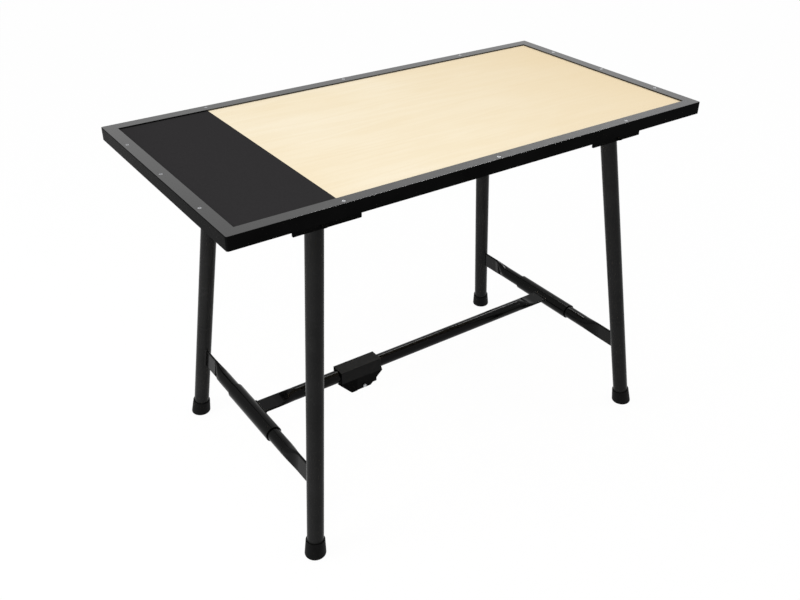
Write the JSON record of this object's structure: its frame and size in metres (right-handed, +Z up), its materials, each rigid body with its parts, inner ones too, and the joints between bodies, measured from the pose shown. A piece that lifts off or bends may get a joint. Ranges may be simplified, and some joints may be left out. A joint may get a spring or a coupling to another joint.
{
  "type": "folding workbench",
  "caption": "Folding workbench: a plywood top with a painted end band in an angle-steel frame, on splayed tube legs that fold in under it, braced by a hooked stretcher.",
  "frame": {"origin": "on the floor, under the middle of the top", "axes": "+X along the length towards the plain end, +Y across towards the rear, +Z up"},
  "size_m": [1.08, 0.5888, 0.745],
  "materials": {
    "birch_plywood": "satin lacquer, black painted band at one end",
    "black_painted_steel": "semi-gloss powder coat",
    "zinc_plated_steel": "bright zinc",
    "black_rubber": "matte moulded"
  },
  "bodies": {
    "top": {"top_panel": "birch_plywood", "front_rail": "black_painted_steel", "rear_rail": "black_painted_steel", "left_rail": "black_painted_steel", "right_rail": "black_painted_steel", "rail_screws": "zinc_plated_steel", "front_left_bracket": "black_painted_steel", "rear_left_bracket": "black_painted_steel", "front_right_bracket": "black_painted_steel", "rear_right_bracket": "black_painted_steel", "bracket_screws": "zinc_plated_steel", "front_left_pivot_bolt": "black_painted_steel", "rear_left_pivot_bolt": "black_painted_steel", "front_right_pivot_bolt": "black_painted_steel", "rear_right_pivot_bolt": "black_painted_steel", "pivot_nuts": "zinc_plated_steel"},
    "left_legs": {"front_left_leg": "black_painted_steel", "front_left_bush": "zinc_plated_steel", "front_left_foot": "black_rubber", "rear_left_leg": "black_painted_steel", "rear_left_bush": "zinc_plated_steel", "rear_left_foot": "black_rubber", "left_crossbar": "black_painted_steel"},
    "right_legs": {"front_right_leg": "black_painted_steel", "front_right_bush": "zinc_plated_steel", "front_right_foot": "black_rubber", "rear_right_leg": "black_painted_steel", "rear_right_bush": "zinc_plated_steel", "rear_right_foot": "black_rubber", "right_crossbar": "black_painted_steel"},
    "left_stretcher": {"left_sleeve": "black_painted_steel", "left_stretcher_bar": "black_painted_steel", "catch_channel": "black_painted_steel", "front_catch_plate": "black_painted_steel", "rear_catch_plate": "black_painted_steel", "front_catch_doubler": "black_painted_steel", "rear_catch_doubler": "black_painted_steel", "catch_pin": "zinc_plated_steel"},
    "right_stretcher": {"right_sleeve": "black_painted_steel", "right_stretcher_bar": "black_painted_steel", "catch_hook": "black_painted_steel"}
  },
  "joints": [
    {"name": "left_leg_fold", "type": "hinge", "parent": "top", "child": "left_legs", "pos_m": [-0.3475, 0, 0.696], "axis": [0, -1, 0], "range_deg": [0, 87.5]},
    {"name": "right_leg_fold", "type": "hinge", "parent": "top", "child": "right_legs", "pos_m": [0.3525, 0, 0.696], "axis": [0, 1, 0], "range_deg": [0, 98]},
    {"name": "left_bar_swing", "type": "hinge", "parent": "left_legs", "child": "left_stretcher", "pos_m": [-0.4031, 0, 0.1695], "axis": [0, -1, 0], "range_deg": [0, 98]},
    {"name": "right_bar_swing", "type": "hinge", "parent": "right_legs", "child": "right_stretcher", "pos_m": [0.42663, 0, 0.1695], "axis": [0, -1, 0], "range_deg": [0, 273.8]}
  ],
  "couplings": [
    {"joint": "left_bar_swing", "follows": "left_leg_fold", "ratio": 1.12},
    {"joint": "right_bar_swing", "follows": "right_leg_fold", "ratio": 2.7938}
  ]
}
